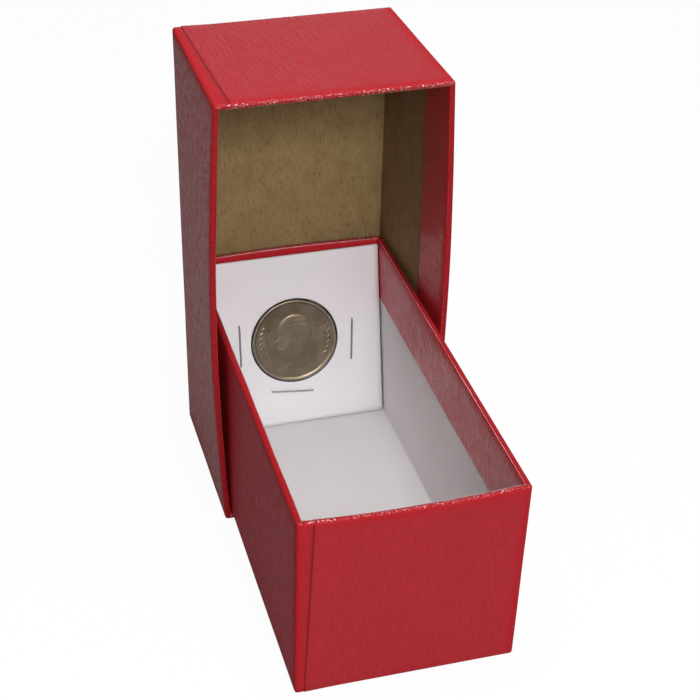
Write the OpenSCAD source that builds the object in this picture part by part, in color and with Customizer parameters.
// Covered paperboard box for a row of square coin holders.
// It is shown open: the lid stands on one end and the tray lies in the lid's mouth,
// tipped a little because its floor rests on the lid's rim.
// The origin is the middle of the end that the lid stands on, and the mouth faces -Y.

/* [Coin holder] */
// Side of the square card holder
holder_side = 50.8; // [45:0.1:60]
// Thickness of one leaf of the folded card
leaf_t = 0.45; // [0.3:0.05:0.7]
// Thickness of one window film
film_t = 0.1; // [0.06:0.01:0.2]
// Card left bare between the film's edge and the card's edge
film_margin = 3.4; // [2:0.1:6]
// Diameter of the coin
coin_d = 24.3; // [18:0.1:26]
// Thickness of the coin at its rim
coin_t = 1.75; // [1.4:0.05:2.6]
// Width of the coin's raised rim
coin_rim_w = 0.9; // [0.5:0.1:1.5]
// Depth of the coin's field below the rim
coin_field = 0.15; // [0.05:0.05:0.3]
// Room round the coin in its film pocket
coin_gap = 0.05; // [0.02:0.01:0.2]
// Room between the film pocket and the edge of the window
window_gap = 0.4; // [0.2:0.1:1.5]

/* [Staples] */
// Diameter of the staple wire
wire_d = 0.5; // [0.4:0.05:0.7]
// Length of a staple's crown
crown_l = 12.6; // [8:0.1:14]
// Length of each clinched tip behind the card
clinch_l = 3.5; // [2:0.1:3.8]
// Inner radius of a staple's bends
bend_in = 0.05; // [0.03:0.01:0.1]
// Room between a staple and the card that it pierces
pierce_gap = 0.03; // [0.02:0.01:0.1]
// Distance of the left staple from the card's edge
left_inset = 9.6; // [6:0.1:10]
// Distance of the right staple from the card's edge
right_inset = 8.6; // [6:0.1:10]
// Distance of the bottom staple from the card's edge
bottom_inset = 10; // [6:0.1:10.4]
// Height of the left staple over the coin's centre
left_rise = 0.4; // [-4:0.1:4]
// Height of the right staple over the coin's centre
right_rise = -1.8; // [-4:0.1:4]
// Shift of the bottom staple to the right of the coin's centre
bottom_shift = -1.3; // [-4:0.1:4]
// Tilt of the left staple out of square
left_tilt = 1; // [-6:0.5:6]
// Tilt of the right staple out of square
right_tilt = 3; // [-6:0.5:6]
// Tilt of the bottom staple out of square
bottom_tilt = 6; // [-6:0.5:6]

/* [Board and papers] */
// Thickness of the chipboard
board_t = 1; // [0.7:0.05:1.6]
// Thickness of the red covering paper
wrap_t = 0.2; // [0.1:0.02:0.3]
// Thickness of the corner stay tape and of the paste film beside it
stay_t = 0.1; // [0.06:0.01:0.15]
// Thickness of the tray's white liner
liner_t = 0.1; // [0.06:0.01:0.2]
// Radius of the covered upright corners
corner_r = 0.8; // [0.5:0.05:1.2]
// Width of each leg of a corner stay
stay_w = 12; // [6:0.5:18]
// Board left bare above and below a corner stay
stay_end = 2; // [1:0.5:5]
// Width of the slit where two walls of a folded blank meet
slit_w = 0.1; // [0.05:0.01:0.2]
// Depth of the covering turned in over the rim
turn_in = 17; // [8:0.5:24]
// Width of the covering turned under the closed side
turn_under = 10; // [5:0.5:16]
// Red border left round the pasted end sheet
sheet_inset = 1.5; // [1:0.1:3]
// Width of the lap where the covering's two ends meet
lap_w = 8; // [4:0.5:14]
// Distance of the lap's edge from the left corner, at the closed side
lap_base = 2.3; // [1.6:0.1:6]
// Distance of the lap's edge from the left corner, at the rim
lap_rim = 4; // [1.6:0.1:6]

/* [Box] */
// Length of the row of holders inside the tray
row_l = 111.6; // [90:0.1:200]
// Room between a holder and each side of the tray
holder_gap = 0.3; // [0.2:0.05:1]
// Room between the top of an upright holder and the rim
head_gap = 0.3; // [0.2:0.05:2]
// Room between the tray and each side of the lid
lid_gap = 0.3; // [0.2:0.05:1]
// Room between the tray and each end of the lid
lid_end_gap = 1.4; // [0.3:0.05:3]
// Strip of the tray left showing when the lid is on
reveal = 3.4; // [0:0.1:12]

/* [Open position] */
// Room between the tray's rear wall and the lid's panel
back_gap = 1.7; // [0.6:0.1:20]
// Room between the tray's floor and the lid's rim
sit_gap = 0.1; // [0.05:0.05:0.5]
// Lean of the holder against the tray's rear wall
holder_lean = 13; // [2:0.5:20]
// Room between the leaning holder and what it touches
lean_gap = 0.15; // [0.1:0.05:0.3]

/* [Hidden] */
$fn = 96;
// Overshoot of a cutting solid
over = 1;

// Wall and floor thicknesses, with all their papers
lid_wall = board_t + stay_t + 2 * wrap_t;
tray_wall = lid_wall + liner_t;
lid_panel = board_t + 2 * wrap_t;
tray_floor = lid_panel + liner_t;

// Outer sizes of the tray and of the lid that goes over it
tray_w = holder_side + 2 * (holder_gap + tray_wall);
tray_l = row_l + 2 * tray_wall;
tray_h = tray_floor + holder_side + head_gap;
lid_w = tray_w + 2 * (lid_gap + lid_wall);
lid_l = tray_l + 2 * (lid_end_gap + lid_wall);
lid_h = tray_h - reveal + lid_panel;

// The tray stands on the front edge of its bottom sheet and on the lid's rim
tray_out = tray_l - (lid_h - lid_panel - back_gap);
tray_tip = atan((lid_wall + sit_gap) / (tray_out - sheet_inset));

// Holder card, film pocket and window
card_t = 2 * (leaf_t + film_t);
film_side = holder_side - 2 * film_margin;
pocket_r = coin_d / 2 + coin_gap;
pocket_h = coin_t / 2 + coin_gap;
window_d = 2 * (pocket_r + film_t + window_gap);

// Staples: place on the card from its centre, and turn about the card's face
bend_r = wire_d / 2 + bend_in;
leg_x = crown_l / 2 - wire_d / 2;
wire_y = card_t / 2 + pierce_gap + wire_d / 2;
LEFT = [-holder_side / 2 + left_inset, left_rise, 90 + left_tilt];
RIGHT = [holder_side / 2 - right_inset, right_rise, 90 + right_tilt];
BOTTOM = [bottom_shift, -holder_side / 2 + bottom_inset, bottom_tilt];

red = [0.72, 0.12, 0.15];
kraft = [0.47, 0.38, 0.26];
white = [0.92, 0.91, 0.9];
tape = [0.8, 0.72, 0.58];
clear = [0.8, 0.88, 0.92, 0.35];
nickel = [0.5, 0.45, 0.38];
steel = [0.62, 0.62, 0.64];

// Places in the open box

module in_lid() {
  translate([0, lid_h / 2, lid_l / 2]) rotate([90, 0, 0]) children();
}

module in_tray() {
  translate([0, sheet_inset - tray_out - lid_h / 2, 0])
    rotate([tray_tip, 0, 0])
      translate([0, tray_l / 2 - sheet_inset, 0])
        children();
}

// The holder's own origin is its centre, and its front faces -Y
module in_holder() {
  top_reach = (holder_side - card_t / 2) * sin(holder_lean) + card_t / 2;
  in_tray()
    translate([
      0,
      tray_l / 2 - tray_wall - lean_gap - top_reach,
      tray_floor + lean_gap + card_t / 2 * sin(holder_lean)
    ])
      rotate([-holder_lean, 0, 0])
        translate([0, 0, holder_side / 2])
          children();
}

// Outlines

module rounded(w, l, r) {
  square([w - 2 * r, l], center = true);
  square([w, l - 2 * r], center = true);
  for (x = [-1, 1], y = [-1, 1])
    translate([x * (w / 2 - r), y * (l / 2 - r)]) circle(r);
}

module rounded_inside(w, l, inset) {
  rounded(w - 2 * inset, l - 2 * inset, corner_r - inset);
}

module plain_inside(w, l, inset) {
  square([w - 2 * inset, l - 2 * inset], center = true);
}

// Pieces of a covered box of outer size w by l by h, closed side at z = 0

// Chipboard blank, cut at the corners and folded up round its panel
module folded_board(w, l, h) {
  face = wrap_t + stay_t;
  base = 2 * wrap_t;
  cavity_w = w - 2 * (face + board_t);
  difference() {
    translate([0, 0, base]) linear_extrude(h - wrap_t - base) rounded_inside(w, l, face);
    translate([0, 0, base + board_t]) linear_extrude(h) plain_inside(w, l, face + board_t);
    for (x = [-1, 1])
      translate([x * (cavity_w - slit_w) / 2, 0, base + board_t + h / 2])
        cube([slit_w, l, h], center = true);
  }
}

// Paper tape bent round one upright corner of the board
module corner_stay(w, l, h, x, y) {
  foot = 2 * wrap_t + stay_end;
  translate([0, 0, foot])
    linear_extrude(h - wrap_t - stay_end - foot)
      intersection() {
        difference() {
          rounded_inside(w, l, wrap_t);
          rounded_inside(w, l, wrap_t + stay_t);
        }
        translate([x * w / 2, y * l / 2]) square(2 * stay_w, center = true);
      }
}

// Strip of covering: round the walls, in over the rim and under the closed side
module covering(w, l, h, wall) {
  translate([0, 0, wrap_t])
    linear_extrude(h - wrap_t)
      difference() {
        rounded(w, l, corner_r);
        rounded_inside(w, l, wrap_t);
      }
  translate([0, 0, wrap_t])
    linear_extrude(wrap_t)
      difference() {
        rounded(w, l, corner_r);
        plain_inside(w, l, turn_under);
      }
  translate([0, 0, h - wrap_t])
    linear_extrude(wrap_t)
      difference() {
        rounded(w, l, corner_r);
        plain_inside(w, l, wall);
      }
  translate([0, 0, h - turn_in])
    linear_extrude(turn_in)
      difference() {
        plain_inside(w, l, wall - wrap_t);
        plain_inside(w, l, wall);
      }
}

// Raised lap on the -Y wall, where the end of the strip covers its start
module covering_lap(w, l, h) {
  lean = atan((lap_rim - lap_base) / h);
  intersection() {
    translate([lap_base - w / 2, -l / 2, 0])
      rotate([0, lean, 0])
        translate([0, 0, -over])
          linear_extrude(h + 2 * over)
            polygon([[0, wrap_t / 2], [0, -wrap_t], [lap_w, 0], [lap_w, wrap_t / 2]]);
    translate([-w / 2, -l / 2 - over, wrap_t]) cube([w, 2 * over, h - wrap_t]);
  }
}

// Sheet pasted over the closed side: it steps down inside the turned-under border
module end_sheet(w, l) {
  linear_extrude(wrap_t)
    difference() {
      plain_inside(w, l, sheet_inset);
      plain_inside(w, l, turn_under + wrap_t);
    }
  translate([0, 0, wrap_t]) linear_extrude(wrap_t) plain_inside(w, l, turn_under);
}

// Tray

module tray_board() {
  color(kraft) in_tray() folded_board(tray_w, tray_l, tray_h);
}

module tray_liner() {
  face = tray_wall - wrap_t - liner_t;
  color(white)
    in_tray()
      translate([0, 0, lid_panel])
        difference() {
          linear_extrude(tray_h - wrap_t - lid_panel) plain_inside(tray_w, tray_l, face);
          translate([0, 0, liner_t])
            linear_extrude(tray_h) plain_inside(tray_w, tray_l, face + liner_t);
        }
}

module tray_stay(x, y) {
  color(tape) in_tray() corner_stay(tray_w, tray_l, tray_h, x, y);
}

module tray_wrap() {
  color(red)
    in_tray() {
      covering(tray_w, tray_l, tray_h, tray_wall);
      covering_lap(tray_w, tray_l, tray_h);
    }
}

module tray_bottom_sheet() {
  color(red) in_tray() end_sheet(tray_w, tray_l);
}

// Lid

module lid_board() {
  color(kraft) in_lid() folded_board(lid_w, lid_l, lid_h);
}

module lid_stay(x, y) {
  color(tape) in_lid() corner_stay(lid_w, lid_l, lid_h, x, y);
}

module lid_wrap() {
  color(red)
    in_lid() {
      covering(lid_w, lid_l, lid_h, lid_wall);
      mirror([0, 1, 0]) covering_lap(lid_w, lid_l, lid_h);
    }
}

module lid_top_sheet() {
  color(red) in_lid() end_sheet(lid_w, lid_l);
}

// Coin holder

// One staple of round wire, crown along X in front of the card
module staple() {
  straight = crown_l - wire_d - 2 * bend_r;
  leg = 2 * (wire_y - bend_r);
  translate([-straight / 2, -wire_y, 0]) rotate([0, 90, 0]) cylinder(d = wire_d, h = straight);
  for (side = [0, 1])
    mirror([side, 0, 0]) {
      translate([leg_x - bend_r, bend_r - wire_y, 0])
        rotate([0, 0, -90]) wire_bend();
      translate([leg_x, leg / 2, 0]) rotate([90, 0, 0]) cylinder(d = wire_d, h = leg);
      translate([leg_x - bend_r, wire_y - bend_r, 0]) wire_bend();
      translate([leg_x - bend_r - clinch_l, wire_y, 0])
        rotate([0, 90, 0]) cylinder(d = wire_d, h = clinch_l);
    }
}

// Quarter turn of wire from +X towards +Y
module wire_bend() {
  rotate_extrude(angle = 90) translate([bend_r, 0]) circle(d = wire_d);
}

module at_staple(place) {
  translate([place[0], 0, place[1]]) rotate([0, place[2], 0]) children();
}

// Holes that the staples' legs pierced
module pierced() {
  for (place = [LEFT, RIGHT, BOTTOM], x = [-leg_x, leg_x])
    at_staple(place)
      translate([x, 0, 0])
        rotate([90, 0, 0]) cylinder(d = wire_d + 2 * pierce_gap, h = 2 * card_t, center = true);
}

// One strip of card, folded over at the top, with a window in each leaf
module folded_card() {
  straight = holder_side - card_t / 2;
  rotate([90, 0, 90])
    linear_extrude(holder_side, center = true)
      translate([0, -holder_side / 2]) {
        translate([-card_t / 2, 0]) square([leaf_t, straight]);
        translate([film_t, 0]) square([leaf_t, straight]);
        translate([0, straight])
          intersection() {
            difference() {
              circle(d = card_t);
              circle(film_t);
            }
            translate([-card_t, 0]) square(2 * card_t);
          }
      }
}

module holder_card() {
  color(white)
    in_holder()
      difference() {
        folded_card();
        rotate([90, 0, 0]) cylinder(d = window_d, h = 2 * card_t, center = true);
        pierced();
      }
}

// Film on the inner face of one leaf, stretched into a pocket by the coin
module window_film() {
  difference() {
    rotate([90, 0, 0])
      difference() {
        union() {
          linear_extrude(film_t) square(film_side, center = true);
          cylinder(r = pocket_r + film_t, h = pocket_h + film_t);
        }
        translate([0, 0, -over]) cylinder(r = pocket_r, h = pocket_h + over);
      }
    pierced();
  }
}

module holder_front_film() {
  color(clear) in_holder() window_film();
}

module holder_rear_film() {
  color(clear) in_holder() mirror([0, 1, 0]) window_film();
}

module coin() {
  field_r = coin_d / 2 - coin_rim_w;
  color(nickel)
    in_holder()
      rotate([90, 0, 0])
        difference() {
          cylinder(d = coin_d, h = coin_t, center = true);
          for (side = [-1, 1])
            translate([0, 0, side * coin_t / 2])
              cylinder(r = field_r, h = 2 * coin_field, center = true);
        }
}

module stapled(place) {
  color(steel) in_holder() at_staple(place) staple();
}

tray_board();
tray_liner();
tray_stay(-1, -1);  // tray_stay_front_left
tray_stay(1, -1);  // tray_stay_front_right
tray_stay(-1, 1);  // tray_stay_rear_left
tray_stay(1, 1);  // tray_stay_rear_right
tray_wrap();
tray_bottom_sheet();
lid_board();
lid_stay(-1, -1);  // lid_stay_lower_left
lid_stay(1, -1);  // lid_stay_lower_right
lid_stay(-1, 1);  // lid_stay_upper_left
lid_stay(1, 1);  // lid_stay_upper_right
lid_wrap();
lid_top_sheet();
holder_card();
holder_front_film();
holder_rear_film();
coin();
stapled(LEFT);  // staple_left
stapled(RIGHT);  // staple_right
stapled(BOTTOM);  // staple_bottom
